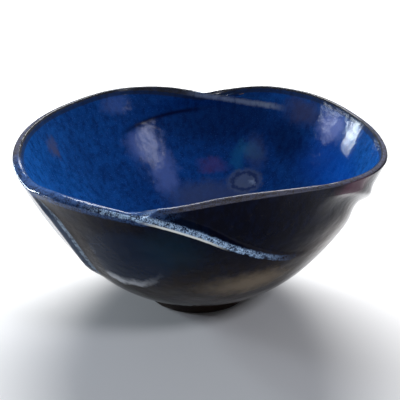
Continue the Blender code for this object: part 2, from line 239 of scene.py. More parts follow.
# ---- how finely the surfaces are divided --------------------------------------
# rows are given as shares of the way from the foot to the rim
COLUMNS = 560
CROWDING = 5.0        # how much closer the columns are along a crossing
CROWDED = 5.0         # how far from it, in degrees
TWIST = 55.0
SPLIT = 0.60          # where the lobes leave the lower bowl
SPLIT_GAP = 0.0035
SEAM_SHARE = 0.3      # half the gap between the lobes, as a share of a column
GLAZE_FOOT = 0.034    # where the outer glaze begins
GLAZE_STEP = 0.005
GLAZE_TOP = 0.930     # where the wall's glazes end and the lip's begins
LIP_FOOT = 0.938
LIP_START = 0.975     # where the wall rounds over
UP_SHARE = 0.02       # how far down the wall gives its direction at the lip
NARROWEST = 1e-6
SHARP_ANGLE = 50.0    # steeper edges than this stay crisp
LOWEST_GLAZED_ROW = 3
LIP_WALL_ROWS = 4
LOWER_ROWS = 24
UPPER_ROWS = 50
WELL_ROWS = 14
LIP_STEPS = 28
LIP_RISE = 0.0021     # the most the lip rounds up over the wall
WALL_LENGTH = 0.105   # along the wall from foot to rim
TURN_STEPS = 7200     # in which the columns' spacing is added up
MILLIMETRES = 1000.0  # in a metre

# ---- camera, floor and lamps --------------------------------------------------
LENS = 108.19
SENSOR = 36.0
CAMERA_SHIFT = (0.0056, 0.0051)
CAMERA_UP = 24.79     # degrees above level
CAMERA_FAR = 0.59235
CAMERA_AT = (0.0, 0.0, 0.04844)
WORLD_COLOUR = (0.9, 0.93, 1.0)
WORLD_STRENGTH = 0.12
FLOOR_HALF = 2.5
FLOOR_COLOUR = (0.85, 0.85, 0.85)
LAMPS_AT = (0.0, 0.0, 0.05)
# name, place, size, watts, colour
LAMPS = (
    ("back_high", (0.0, 0.85, 0.85), (0.9, 0.4), 28.0, (1.0, 1.0, 1.0)),
    ("left_sky", (-0.95, 0.25, 0.27), (0.22, 0.14), 3.5, (0.80, 0.88, 1.0)),
    ("right_front", (0.65, -0.62, 0.85), (0.20, 0.26), 4.2, (0.90, 0.92, 1.0)),
    ("back_left_card", (-0.66, 0.52, 0.165), (0.13, 0.07), 2.6, (0.80, 0.93, 1.0)),
)


# ---- curves ------------------------------------------------------------------
def smoothstep(x):
    """Zero below 0, one above 1, and a smooth S between."""
    x = np.clip(x, 0.0, 1.0)
    return x * x * (3.0 - 2.0 * x)


def stretch(x, span):
    """One along a stretch of x, easing in and out of it as the span says."""
    start, rise, stop, fall = span
    return smoothstep((x - start) / rise) * (1.0 - smoothstep((x - stop) / fall))


def through(knots, angle):
    """Smooth curve through the knots; constant beyond the first and last."""
    at, value = np.array(knots, float).T
    slope = np.gradient(value, at)
    angle = np.clip(angle, at[0], at[-1])
    i = np.clip(np.searchsorted(at, angle, side="right") - 1, 0, len(at) - 2)
    step = at[i + 1] - at[i]
    s = (angle - at[i]) / step
    start = s * (1.0 - s) ** 2 * step * slope[i]
    end = s * s * (s - 1.0) * step * slope[i + 1]
    return value[i] + (value[i + 1] - value[i]) * smoothstep(s) + start + end


def after(angle, start):
    """Angle turned past start, from -180 up to 180."""
    return (angle - start + 180.0) % 360.0 - 180.0


def edge_height(knots, angle):
    """Height of a lobe's edge, and LOWEST_EDGE where the lobe isn't there."""
    first, last = knots[0][0], knots[-1][0]
    turned = (angle - first) % 360.0 + first
    return np.where(turned <= last, through(knots, turned), LOWEST_EDGE)


def top_height(angle):
    """Height of the bowl's rim: the higher of the two lobes, eased together."""
    right = edge_height(RIGHT_EDGE, angle)
    left = edge_height(LEFT_EDGE, angle)
    ease = 0.0008
    return 0.5 * (right + left + np.sqrt((right - left) ** 2 + ease ** 2))


def base_profile(t):
    """Radius, height and outward normal of the thrown shape.

    t runs from 0 at the foot to 1 at the rim along one cubic curve, and goes
    straight on above 1.
    """
    start = np.array([FOOT_RADIUS, FOOT_HEIGHT])
    end = np.array([RIM_RADIUS, RIM_HEIGHT])
    pull_a = start + np.array(BULGE)
    pull_b = end - np.array(SHOULDER)
    t = np.asarray(t, float)[..., None]
    c = np.clip(t, 0.0, 1.0)
    d = 1.0 - c
    point = d ** 3 * start + 3 * d * d * c * pull_a + 3 * d * c * c * pull_b + c ** 3 * end
    along = 3 * (d * d * (pull_a - start) + 2 * d * c * (pull_b - pull_a) + c * c * (end - pull_b))
    point = point + (t - c) * along
    along = along / np.linalg.norm(along, axis=-1, keepdims=True)
    normal = np.stack([along[..., 1], -along[..., 0]], axis=-1)
    return point[..., 0], point[..., 1], normal


def share_at(height):
    """The t at which the thrown shape reaches a height."""
    table = np.linspace(0.0, 1.3, 400)
    return np.interp(height, base_profile(table)[1], table)


# ---- the lobes ------------------------------------------------------------------
def roll(x):
    """Profile over a rounded edge: 0 at its foot, turning over to 1 at its back."""
    x = np.clip(x, 0.0, 1.0)
    return 1.0 - (1.0 - x * x) ** ROLL_POWER


def lapped(angle, height, crossing, knots, span):
    """How much the wall is set back behind a lobe edge that lies over it."""
    past = after(angle, crossing)
    above = roll((height - edge_height(knots, angle)) / LEDGE)
    return above * stretch(past, span)


def tucked(angle, height, crossing, knots, span):
    """How much the start of a lobe stands proud of the inside wall."""
    past = after(angle, crossing)
    below = 1.0 - roll((height - edge_height(knots, angle)) / LEDGE)
    over = smoothstep((height - through(CREASE, past) + TUCK_START) / TUCK_OVER)
    return below * over * stretch(past, span)


def lean_in(angle, height):
    """How far the right lobe's rim leans in, past the front crossing."""
    lean = LEAN * stretch(after(angle, FRONT_CROSSING), LEAN_SPAN)
    return lean * smoothstep((height - LEAN_FROM) / LEAN_OVER)


def outside_shift(angle, height):
    """Outward shift of the outer face from the thrown shape."""
    shift = -LAP * lapped(angle, height, FRONT_CROSSING, LEFT_EDGE, LAP_FRONT)
    shift = shift - LAP * lapped(angle, height, BACK_CROSSING, RIGHT_EDGE, LAP_BACK)
    shift = shift - lean_in(angle, height)
    turn = after(angle, through(CREST, height)) / CREST_WIDTH
    sharp = np.exp(-CREST_SHARPNESS * (np.hypot(turn, CREST_ROUND) - CREST_ROUND))
    tall = stretch(height, CREST_SPAN)
    shift = shift + CREST_HEIGHT * tall * sharp
    off = height - through(FOLD, after(angle, 0.0))
    span = stretch(after(angle, 0.0), FOLD_SPAN)
    shift = shift + FOLD_HEIGHT * span * np.exp(-(off / FOLD_WIDTH) ** 2)
    below = off / HOLLOW_WIDTH + HOLLOW_DROP
    return shift - HOLLOW_DEPTH * span * np.exp(-below ** 2)


def rim_wall(angle):
    """Thickness of a single lobe's wall at its rim."""
    return through(WALL_AT_RIM, (angle + 90.0) % 360.0 - 90.0)


def inside_shift(angle, height, t):
    """Shift of the inner face from the thrown shape's outer face."""
    rim = rim_wall(angle)
    wall = WALL_AT_FLOOR + (rim - WALL_AT_FLOOR) * smoothstep(t)
    shift = -wall - LAP * tucked(angle, height, FRONT_CROSSING, RIGHT_EDGE, TUCK_FRONT)
    shift = shift - LAP * tucked(angle, height, BACK_CROSSING, LEFT_EDGE, TUCK_BACK)
    shift = shift - lean_in(angle, height)
    return np.minimum(shift, outside_shift(angle, height) - THINNEST)


def face(v, rows, side, sink):
    """Grid of points on one face of the wall, sunk by a depth into it.

    v is each column's angle at the rim, and rows are shares of the way from
    foot to rim.  Each point is the thrown shape's point moved along its
    normal by the face's shift.  The columns lean round with height, so that
    they run along the lobes' edges.
    """
    v, q = np.meshgrid(v, rows, indexing="ij")
    angle = v + TWIST * np.cos(0.5 * np.pi * np.clip((q - 0.5) / 0.5, 0.0, 1.0))
    t = q / LIP_START * share_at(top_height(angle))
    radius, height, normal = base_profile(t)
    if side == "outer":
        shift = outside_shift(angle, height) - sink
    else:
        shift = inside_shift(angle, height, t) + sink
    r = radius + shift * normal[..., 0]
    z = height + shift * normal[..., 1]
    turn = np.radians(angle)
    return np.stack([r * np.sin(turn), -r * np.cos(turn), z], axis=-1)


def lip_start(sink):
    """Share where a face sunk by a depth turns over into the lip."""
    return LIP_START - sink / WALL_LENGTH


def lip(v, sink):
    """Rounded lip from the outer face over to the inner one.

    Where one lobe's rim lies beside the other's, the wall is wider than one
    lobe and the lip is two rolls: each is half an ellipse, and the higher
    one counts.  The lobe with the lower edge has the lower roll.
    """
    start = lip_start(sink)
    outer = face(v, [start], "outer", sink)[:, 0]
    inner = face(v, [start], "inner", sink)[:, 0]
    below = face(v, [start - UP_SHARE], "outer", sink)[:, 0]
    up = outer - below
    up = (up / np.linalg.norm(up, axis=1, keepdims=True))[:, None]
    width = np.linalg.norm(inner - outer, axis=1)[:, None]
    single = np.minimum(rim_wall(v)[:, None] - 2.0 * sink, width)
    drop = (edge_height(RIGHT_EDGE, v) - edge_height(LEFT_EDGE, v))[:, None]
    front = np.abs(after(v, FRONT_CROSSING))[:, None] < 90.0
    drop = np.where(front, drop, -drop)
    s = 0.5 - 0.5 * np.cos(np.pi * np.arange(1, LIP_STEPS) / LIP_STEPS)
    at = s[None] * width
    near = half_round(at, 0.0, single) + np.minimum(-drop, 0.0)
    second = np.maximum(width - single - 2.0 * sink, NARROWEST)
    far = half_round(at, width - second, width) + np.minimum(drop, 0.0)
    paired = smoothstep((width - single) / TWO_ROLLS_OVER)
    rise = np.maximum(near, np.where(paired > 0.0, far, -1.0))
    rise = paired * rise + (1.0 - paired) * half_round(at, 0.0 * width, width)
    return outer[:, None] + s[None, :, None] * (inner - outer)[:, None] + rise[..., None] * up


def half_round(at, start, stop):
    """Height of half an ellipse over the stretch from start to stop."""
    half = 0.5 * (stop - start)
    x = (at - start - half) / half
    return np.minimum(half, LIP_RISE) * np.sqrt(np.clip(1.0 - x * x, 0.0, 1.0))


# ---- meshes ------------------------------------------------------------------------
def ring_mesh(name, rings, closed=True, poles=False):
    """Mesh from a (columns, points, 3) array of cross-sections.

    Each cross-section is joined to the next one by quads.  closed joins the
    last column to the first; otherwise both ends are filled, pairing the
    outer face's points with the inner face's.  poles joins the first point of
    every column in one, and the last too.
    """
    n, m = rings.shape[:2]
    i = np.arange(n if closed else n - 1)[:, None]
    k = np.arange(m - 1 if poles else m)[None, :]
    j, k2 = (i + 1) % n, (k + 1) % m
    quads = np.stack([i * m + k, j * m + k, j * m + k2, i * m + k2], axis=-1).reshape(-1, 4)
    parts = [quads]
    if not closed:
        a = np.arange(m // 2 - 1)
        far = m - 1 - a
        parts.append(np.stack([a, a + 1, far - 1, far], axis=-1))
        parts.append(np.stack([far, far - 1, a + 1, a], axis=-1) + (n - 1) * m)
    quads = np.concatenate(parts)
    points = rings.reshape(-1, 3)
    if not poles:
        faces = quads.tolist()
    else:
        # every column's first point is one point on the axis, and so is its last
        low = (quads % m == 0).any(axis=1)
        high = (quads % m == m - 1).any(axis=1)
        plain = quads[~(low | high)]
        bottom = quads[low]
        bottom = np.stack([np.zeros(len(bottom), int), bottom[:, 2], bottom[:, 3]], axis=-1)
        top = quads[high]
        top = np.stack([top[:, 0], top[:, 1], np.full(len(top), m - 1)], axis=-1)
        used = np.ones(n * m, bool)
        used[m::m] = False
        used[2 * m - 1::m] = False
        number = np.cumsum(used) - 1
        points = points[used]
        faces = number[plain].tolist() + number[bottom].tolist() + number[top].tolist()
    mesh = bpy.data.meshes.new(name)
    mesh.from_pydata(points, [], faces)
    mesh.update()
    mesh.shade_smooth()
    mesh.set_sharp_from_angle(angle=np.radians(SHARP_ANGLE))
    thing = bpy.data.objects.new(name, mesh)
    scene.collection.objects.link(thing)
    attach(thing, "root")
    return thing


def ring_points(v, outline):
    """The outline's (radius, height) points at the foot end of each column."""
    turn = np.radians(v + TWIST)[:, None]
    r, z = np.array(outline).T
    return np.stack([r * np.sin(turn), -r * np.cos(turn), z + 0.0 * turn], axis=-1)


def well(v, sink):
    """Points from the inner face's foot level in to the axis, sunk by a depth."""
    edge = face(v, [0.0], "inner", 0.0)[0, 0]
    share = np.arange(WELL_ROWS - 1, -1, -1) / WELL_ROWS
    radius = np.hypot(edge[0], edge[1]) * share
    height = edge[2] - sink - WELL_DEPTH * (1.0 - share ** 2)
    return ring_points(v, list(zip(radius, height)))


def lower_rows():
    """Rows of the lower bowl, from the foot to where the lobes begin."""
    return np.linspace(0.0, SPLIT, LOWER_ROWS + 1)


def upper_rows():
    """Rows of the lobes, up to the lip's glaze."""
    return np.linspace(SPLIT, GLAZE_TOP, UPPER_ROWS + 1)


def column_angles():
    """Angles of the columns, closest together along the two crossings."""
    turn = np.linspace(0.0, 360.0, TURN_STEPS + 1)
    from_front = after(turn + FRONT_CROSSING, FRONT_CROSSING)
    from_back = after(turn + FRONT_CROSSING, BACK_CROSSING)
    crowd_front = CROWDING * np.exp(-(from_front / CROWDED) ** 2)
    density = 1.0 + crowd_front + CROWDING * np.exp(-(from_back / CROWDED) ** 2)
    total = np.concatenate([[0.0], np.cumsum(0.5 * (density[1:] + density[:-1]))])
    share = np.arange(COLUMNS) / COLUMNS
    return FRONT_CROSSING + np.interp(share, total / total[-1], turn)


COLUMN_ANGLES = column_angles()


def mark(piece, inside):
    """Store on each point where it lies, for the glaze to read.

    inside is 0 on the outer face and 1 on the inner one.  below_lip is the
    drop from the rim in millimetres.  over_edge is the height above the lobe
    edge that shows on this face, in millimetres, and edge_here fades it out.
    Its crease value is painted shade, a dark line along the tucked start's lower
    fold.  crest and crest_turn give the ridge on the left and the turn past it
    in ridge widths.
    """
    points = np.empty(len(piece.data.vertices) * 3)
    piece.data.vertices.foreach_get("co", points)
    x, y, height = points.reshape(-1, 3).T
    angle = np.degrees(np.arctan2(x, -y))
    past_front = after(angle, FRONT_CROSSING)
    past_back = after(angle, BACK_CROSSING)
    front = np.abs(past_front) < 90.0
    past = np.where(front, past_front, past_back)
    left = edge_height(LEFT_EDGE, angle)
    right = edge_height(RIGHT_EDGE, angle)
    outer = inside < 0.5
    edge = np.where(front == outer, left, right)
    crease_shade = np.exp(-((height - through(CREASE, past)) / CREASE_SHADE_WIDTH) ** 2)
    crease_shade = crease_shade * stretch(past, CREASE_SHADE_SPAN)
    on_ledge = stretch(past, LEDGE_SPAN)
    on_ridge = stretch(past, RIDGE_HIGHLIGHT_SPAN)
    tall = stretch(height, CREST_SPAN)
    turn = after(angle, through(CREST, height)) / CREST_WIDTH
    values = {
        "inside": inside,
        "below_lip": MILLIMETRES * (top_height(angle) - height),
        "over_edge": MILLIMETRES * np.clip(height - edge, -EDGE_REACH, EDGE_REACH),
        "edge_here": np.where(outer, on_ledge, on_ridge),
        "crease_shade": np.where(outer, 0.0, crease_shade),
        "crest": np.where(outer, tall, 0.0),
        "crest_turn": np.clip(turn, -CREST_REACH, CREST_REACH),
    }
    for name, value in values.items():
        layer = piece.data.attributes.new(name, "FLOAT", "POINT")
        layer.data.foreach_set("value", value.astype(np.float32))


# ---- node building -----------------------------------------------------------------
def plug(tree, socket, value):
    """Link a socket to another one, or give it a fixed value."""
    if isinstance(value, bpy.types.NodeSocket):
        tree.links.new(value, socket)
    elif socket.type == "RGBA":
        socket.default_value = (*value, 1.0)
    else:
        socket.default_value = value


def node(tree, kind, settings=None, **values):
    """New node with settings, and inputs by name (underscores for spaces)."""
    new = tree.nodes.new("ShaderNode" + kind)
    for key, value in (settings or {}).items():
        setattr(new, key, value)
    for key, value in values.items():
        plug(tree, new.inputs[key.replace("_", " ")], value)
    return new


def calc(tree, operation, *values):
    """Output of one sum; values can be numbers or sockets."""
    new = node(tree, "Math", {"operation": operation})
    for socket, value in zip(new.inputs, values):
        plug(tree, socket, value)
    return new.outputs[0]


def ease(tree, value, low, high, top=1.0):
    """Smooth step from 0 at low to top at high; low may be above high."""
    new = node(tree, "MapRange", {"interpolation_type": "SMOOTHSTEP"}, Value=value,
               From_Min=low, From_Max=high, To_Max=top)
    return new.outputs["Result"]


def band(tree, value, low, high, soft):
    """1 between low and high, easing to 0 over soft outside them."""
    up = ease(tree, value, low - soft, low)
    return calc(tree, "MULTIPLY", up, ease(tree, value, high + soft, high))


def mixed(tree, share, a, b):
    """Colour a, turning to b as share goes from 0 to 1."""
    new = node(tree, "Mix", {"data_type": "RGBA"})
    plug(tree, new.inputs[0], share)
    plug(tree, new.inputs[6], a)
    plug(tree, new.inputs[7], b)
    return new.outputs[2]


def grain(tree, vector, scale, detail, rough):
    """Noise of one size, as a value round 0.5."""
    new = node(tree, "TexNoise", None, Vector=vector, Scale=scale, Detail=detail, Roughness=rough)
    return new.outputs["Fac"]


def mark_value(tree, name):
    """One of the values that mark() stored on the points."""
    return node(tree, "Attribute", {"attribute_name": name}).outputs["Fac"]


def group(name, inputs, outputs):
    """Empty node group; gives the tree, what it's given and what it results in."""
    tree = bpy.data.node_groups.new(name, "ShaderNodeTree")
    for way, sockets in (("INPUT", inputs), ("OUTPUT", outputs)):
        for label, kind in sockets:
            tree.interface.new_socket(label, in_out=way, socket_type="NodeSocket" + kind)
    return tree, tree.nodes.new("NodeGroupInput").outputs, tree.nodes.new("NodeGroupOutput").inputs


def use(tree, inner, **values):
    """Place a node group in a tree; gives its outputs."""
    return node(tree, "Group", {"node_tree": inner}, **values).outputs


# ---- glaze effects, shared by the three coats -------------------------------------------
def place_group():
    """Place: the point, the same wobbled so blots get ragged edges, its angle and height."""
    tree, _, result = group("place", (), (("Vector", "Vector"), ("Wobbled", "Vector"),
                                          ("Angle", "Float"), ("Height", "Float")))
    spot = node(tree, "TexCoord").outputs["Object"]
    shake = node(tree, "TexNoise", None, Vector=spot, Scale=RAGGED_SCALE, Detail=4.0,
                 Roughness=0.65)
    shift = node(tree, "VectorMath", {"operation": "SUBTRACT"})
    plug(tree, shift.inputs[0], shake.outputs["Color"])
    plug(tree, shift.inputs[1], (0.5, 0.5, 0.5))
    moved = node(tree, "VectorMath", {"operation": "MULTIPLY_ADD"})
    plug(tree, moved.inputs[0], shift.outputs["Vector"])
    plug(tree, moved.inputs[1], (WOBBLE, WOBBLE, WOBBLE))
    plug(tree, moved.inputs[2], spot)
    parts = node(tree, "SeparateXYZ", None, Vector=spot).outputs
    back = calc(tree, "MULTIPLY", parts["Y"], -1.0)
    turn = calc(tree, "ARCTAN2", parts["X"], back)
    plug(tree, result["Vector"], spot)
    plug(tree, result["Wobbled"], moved.outputs["Vector"])
    plug(tree, result["Angle"], calc(tree, "DEGREES", turn))
    plug(tree, result["Height"], calc(tree, "MULTIPLY", parts["Z"], MILLIMETRES))
    return tree


def grain_group():
    """Grain of the glaze: slow clouds, streaks that run down, fine specks."""
    tree, given, result = group("glaze_grain", (("Vector", "Vector"),),
                                (("Cloud", "Float"), ("Streak", "Float"), ("Mottle", "Float"),
                                 ("Speck", "Float"), ("Wave", "Float")))
    tall = node(tree, "Mapping", None, Vector=given["Vector"], Scale=STREAK_RUN).outputs[0]
    plug(tree, result["Cloud"], grain(tree, given["Vector"], CLOUD_SCALE, 3.0, 0.55))
    plug(tree, result["Streak"], grain(tree, tall, STREAK_SCALE, 4.0, 0.6))
    plug(tree, result["Mottle"], grain(tree, given["Vector"], MOTTLE_SCALE, 4.0, 0.7))
    plug(tree, result["Speck"], grain(tree, given["Vector"], SPECK_SCALE, 2.0, 0.6))
    plug(tree, result["Wave"], grain(tree, given["Vector"], WAVE_SCALE, 2.0, 0.5))
    return tree


def blot_group():
    """Blot: 1 within an ellipsoid round Centre with half-axes Size, 0 outside it."""
    tree, given, result = group("glaze_blot",
                                (("Vector", "Vector"), ("Centre", "Vector"), ("Turn", "Vector"),
                                 ("Size", "Vector"), ("Softness", "Float")), (("Mask", "Float"),))
    local = node(tree, "Mapping", {"vector_type": "TEXTURE"}, Vector=given["Vector"],
                 Location=given["Centre"], Rotation=given["Turn"], Scale=given["Size"])
    far = node(tree, "VectorMath", {"operation": "LENGTH"})
    plug(tree, far.inputs[0], local.outputs[0])
    start = calc(tree, "ADD", 1.0, given["Softness"])
    stop = calc(tree, "SUBTRACT", 1.0, given["Softness"])
    plug(tree, result["Mask"], ease(tree, far.outputs["Value"], start, stop))
    return tree


def blotted(tree, blot, vector, colour, blots):
    """Lay the blots over a colour, one after the other."""
    for tint, share, centre, turn, size, softness in blots:
        mask = use(tree, blot, Vector=vector, Centre=centre, Turn=(0.0, 0.0, np.radians(turn)),
                   Size=size, Softness=softness)["Mask"]
        colour = mixed(tree, calc(tree, "MULTIPLY", mask, share), colour, tint)
    return colour


def inside_group(place, grains, blot):
    """Colour of the blue glaze inside, with a painted pool of light, painted shade, painted
    reflections and a painted glint.
    """
    tree, _, result = group("inside_colour", (), (("Color", "Color"),))
    at = use(tree, place)
    run = use(tree, grains, Vector=at["Vector"])
    depth = calc(tree, "ADD", calc(tree, "MULTIPLY", run["Streak"], 0.55),
                 calc(tree, "MULTIPLY", run["Mottle"], 0.45))
    colour = mixed(tree, ease(tree, depth, 0.33, 0.62), NAVY, ROYAL)
    colour = mixed(tree, ease(tree, run["Cloud"], 0.62, 0.40, 0.35), colour, NAVY)
    colour = mixed(tree, ease(tree, run["Speck"], 0.58, 0.72, 0.55), colour, PERIWINKLE)
    colour = blotted(tree, blot, at["Wobbled"], colour, INSIDE_BLOTS)
    eye = node(tree, "Mapping", {"vector_type": "TEXTURE"}, Vector=at["Vector"],
               Location=EYE_CENTRE, Scale=EYE_SIZE)
    far = node(tree, "VectorMath", {"operation": "LENGTH"})
    plug(tree, far.inputs[0], eye.outputs[0])
    rough = calc(tree, "MULTIPLY_ADD", run["Mottle"], 0.9, -0.45)
    reach = calc(tree, "ADD", far.outputs["Value"], rough)
    colour = mixed(tree, ease(tree, reach, 1.6, 0.9, 0.8), colour, EYE_GREY)
    ring = calc(tree, "MULTIPLY", band(tree, reach, 0.86, 0.94, 0.25), 0.75)
    colour = mixed(tree, ring, colour, EYE_RING)
    # painted highlight: a pale glint in the eye
    glint = use(tree, blot, Vector=at["Wobbled"], Centre=EYE_GLINT, Size=GLINT_SIZE,
                Softness=0.6)["Mask"]
    colour = mixed(tree, calc(tree, "MULTIPLY", glint, 0.8), colour, EYE_HIGHLIGHT)
    # painted shade: a dark line along the crease of the tucked start
    crease_shade = calc(tree, "MULTIPLY", mark_value(tree, "crease_shade"), 0.9)
    colour = mixed(tree, crease_shade, colour, SHADE_NAVY)
    plug(tree, result["Color"], colour)
    return tree


def outside_group(place, grains, blot):
    """Colour of the dark glaze outside, with painted reflections, and a painted highlight along the
    crest.
    """
    tree, _, result = group("outside_colour", (), (("Color", "Color"),))
    at = use(tree, place)
    run = use(tree, grains, Vector=at["Vector"])
    low = calc(tree, "MULTIPLY_ADD", run["Cloud"], 30.0, at["Height"])
    colour = mixed(tree, ease(tree, low, 52.0, 78.0), OUTSIDE_BROWN, OUTSIDE_INK)
    depth = ease(tree, run["Streak"], 0.42, 0.66, 0.6)
    colour = mixed(tree, depth, colour, OUTSIDE_NAVY)
    colour = mixed(tree, ease(tree, run["Mottle"], 0.60, 0.72, 0.5), colour, OUTSIDE_OLIVE)
    colour = mixed(tree, ease(tree, run["Speck"], 0.68, 0.78, 0.5), colour, OUTSIDE_PALE)
    colour = blotted(tree, blot, at["Wobbled"], colour, OUTSIDE_BLOTS)
    turn = mark_value(tree, "crest_turn")
    here = mark_value(tree, "crest")
    wander = calc(tree, "MULTIPLY_ADD", run["Mottle"], 0.4, -0.2)
    turn = calc(tree, "ADD", turn, wander)
    patchy = ease(tree, run["Mottle"], 0.30, 0.62)
    for tint, share, start, stop, soft in CREST_BANDS:
        stripe = calc(tree, "MULTIPLY", band(tree, turn, start, stop, soft), share)
        # the crest's painted highlight, made patchy by the mottle
        if tint == CREST_HIGHLIGHT:
            stripe = calc(tree, "MULTIPLY", stripe, patchy)
        colour = mixed(tree, calc(tree, "MULTIPLY", stripe, here), colour, tint)
    plug(tree, result["Color"], colour)
    return tree


def rim_group(place, grains):
    """Masks of where the glaze breaks over the edges, with painted highlights and a painted
    reflection along them.

    Float is the blue along the left lobe's rim and the ledges, and Pale is
    where it turns nearly white; on the front ledge both are partly a painted
    reflection of the sky.  Ridge is a grey streak of painted highlight inside.
    Thin is the top of the lip, which is olive, or slate where Slate says.
    Line is dark, at the lip's inner side, and Cream is a painted highlight,
    a line under the front ledge.
    """
    names = ("Float", "Pale", "Slate", "Ridge", "Thin", "Line", "Cream")
    tree, _, result = group("rim_break", (), [(name, "Float") for name in names])
    at = use(tree, place)
    run = use(tree, grains, Vector=at["Vector"])
    over = mark_value(tree, "over_edge")
    here = mark_value(tree, "edge_here")
    down = mark_value(tree, "below_lip")
    inside = mark_value(tree, "inside")
    ragged = calc(tree, "MULTIPLY_ADD", run["Mottle"], 3.0, -1.5)
    # the ledge, seen on the outer face over the lower lobe's edge; its flecks are partly glaze and
    # partly painted sky reflection
    lift = calc(tree, "MULTIPLY_ADD", ease(tree, inside, 0.5, 0.9), -1.2, ragged)
    ledge = band(tree, calc(tree, "ADD", over, lift), *LEDGE_BAND)
    ledge = calc(tree, "MULTIPLY", ledge, here)
    # the rolled rim of the left lobe
    left = band(tree, at["Angle"], *LEFT_RIM_ANGLES)
    roll_band = ease(tree, calc(tree, "ADD", down, ragged), LEFT_RIM_FROM, LEFT_RIM_TO)
    float_rim = calc(tree, "MULTIPLY", left, roll_band)
    fleck = calc(tree, "MULTIPLY_ADD", run["Speck"], 0.5, calc(tree, "MULTIPLY", run["Mottle"], 0.5))
    flecks = ease(tree, fleck, 0.40, 0.55)
    deep = ease(tree, inside, 0.8, 0.55)
    floating = calc(tree, "MAXIMUM", calc(tree, "MULTIPLY", ledge, deep),
                    calc(tree, "MULTIPLY", float_rim, 0.6))
    plug(tree, result["Float"], calc(tree, "MULTIPLY", flecks, floating))
    plug(tree, result["Slate"], ease(tree, fleck, 0.40, 0.60))
    pale = calc(tree, "MULTIPLY_ADD", calc(tree, "MULTIPLY", ledge, deep), 0.92, 0.08)
    plug(tree, result["Pale"], calc(tree, "MULTIPLY", ease(tree, fleck, 0.38, 0.58), pale))
    # painted highlight: a grey streak along the ridge inside
    shallow = calc(tree, "SUBTRACT", 1.0, deep)
    streaky = calc(tree, "MULTIPLY", ease(tree, run["Streak"], 0.20, 0.55), shallow)
    soft = band(tree, calc(tree, "ADD", over, calc(tree, "MULTIPLY", lift, 0.7)), *RIDGE_HIGHLIGHT_BAND)
    soft = calc(tree, "MULTIPLY", soft, here)
    plug(tree, result["Ridge"], calc(tree, "MULTIPLY", soft, streaky))
    top = calc(tree, "ADD", down, calc(tree, "MULTIPLY", ragged, 0.3))
    thin = ease(tree, top, THIN_FROM, THIN_TO, 0.9)
    inner_edge = calc(tree, "MULTIPLY", band(tree, inside, *INNER_LINE), ease(tree, down, 1.5, 0.6))
    plug(tree, result["Line"], calc(tree, "MULTIPLY", inner_edge, 0.8))
    bare = calc(tree, "SUBTRACT", 1.0, calc(tree, "MULTIPLY", float_rim, 0.8))
    plug(tree, result["Thin"], calc(tree, "MULTIPLY", thin, bare))
    # painted highlight: a cream line under the front ledge
    line = calc(tree, "ADD", over, calc(tree, "MULTIPLY", ragged, 0.2))
    line = band(tree, line, *CREAM_HIGHLIGHT_BAND)
    near = band(tree, at["Angle"], *CREAM_HIGHLIGHT_ANGLES)
    line = calc(tree, "MULTIPLY", calc(tree, "MULTIPLY", line, near), deep)
    plug(tree, result["Cream"], line)
    return tree


def skin_group(place, grains):
    """Surface of the glaze: Height for the bump and a slightly uneven Gloss."""
    tree, _, result = group("glaze_skin", (), (("Height", "Float"), ("Gloss", "Float")))
    at = use(tree, place)
    run = use(tree, grains, Vector=at["Vector"])
    fine = calc(tree, "MULTIPLY_ADD", run["Speck"], 0.2, calc(tree, "MULTIPLY", run["Mottle"], 0.5))
    plug(tree, result["Height"], calc(tree, "MULTIPLY_ADD", run["Wave"], 4.0, fine))
    plug(tree, result["Gloss"], calc(tree, "MULTIPLY_ADD", run["Mottle"], 0.16, 0.03))
    return tree


def new_look(name, specular=0.5):
    """Principled material; gives the material, its tree and its shader."""
    look = bpy.data.materials.new(name)
    look.use_nodes = True
    shader = look.node_tree.nodes["Principled BSDF"]
    shader.inputs["Specular IOR Level"].default_value = specular
    return look, look.node_tree, shader


def glaze_look(name, groups):
    """One coat of glaze; all three coats share their colours, so they meet unseen."""
    inside, outside, rim, skin = groups
    look, tree, shader = new_look(name, GLAZE_SPECULAR)
    within = ease(tree, mark_value(tree, "inside"), 0.45, 0.85)
    colour = mixed(tree, within, use(tree, outside)["Color"], use(tree, inside)["Color"])
    edge = use(tree, rim)
    colour = mixed(tree, edge["Thin"], colour, mixed(tree, edge["Slate"], RIM_OLIVE, RIM_SLATE))
    colour = mixed(tree, edge["Line"], colour, RIM_LINE)
    # painted highlight along the ridge inside
    colour = mixed(tree, edge["Ridge"], colour, RIDGE_HIGHLIGHT)
    # blue and pale flecks; on the ledge they are partly painted sky reflection
    colour = mixed(tree, edge["Float"], colour, mixed(tree, edge["Pale"], FLOAT_BLUE, FLOAT_PALE_AND_REFLECTION))
    # painted highlight under the front ledge
    colour = mixed(tree, edge["Cream"], colour, CREAM_HIGHLIGHT)
    surface = use(tree, skin)
    bump = node(tree, "Bump", None, Strength=0.35, Distance=0.0003, Height=surface["Height"])
    plug(tree, shader.inputs["Base Color"], colour)
    plug(tree, shader.inputs["Roughness"], surface["Gloss"])
    plug(tree, shader.inputs["Normal"], bump.outputs["Normal"])
    return look


def foot_look(grains):
    """Thin brown glaze on the foot, worn and a little rough."""
    look, tree, shader = new_look("foot_brown", 0.3)
    spot = node(tree, "TexCoord").outputs["Object"]
    run = use(tree, grains, Vector=spot)
    colour = mixed(tree, ease(tree, run["Cloud"], 0.35, 0.65), FOOT_DARK, FOOT_BROWN)
    colour = mixed(tree, ease(tree, run["Speck"], 0.62, 0.75, 0.6), colour, FOOT_WORN)
    bump = node(tree, "Bump", None, Strength=0.5, Distance=0.0003, Height=run["Mottle"])
    plug(tree, shader.inputs["Base Color"], colour)
    plug(tree, shader.inputs["Roughness"], calc(tree, "MULTIPLY_ADD", run["Mottle"], 0.3, 0.35))
    plug(tree, shader.inputs["Normal"], bump.outputs["Normal"])
    return look


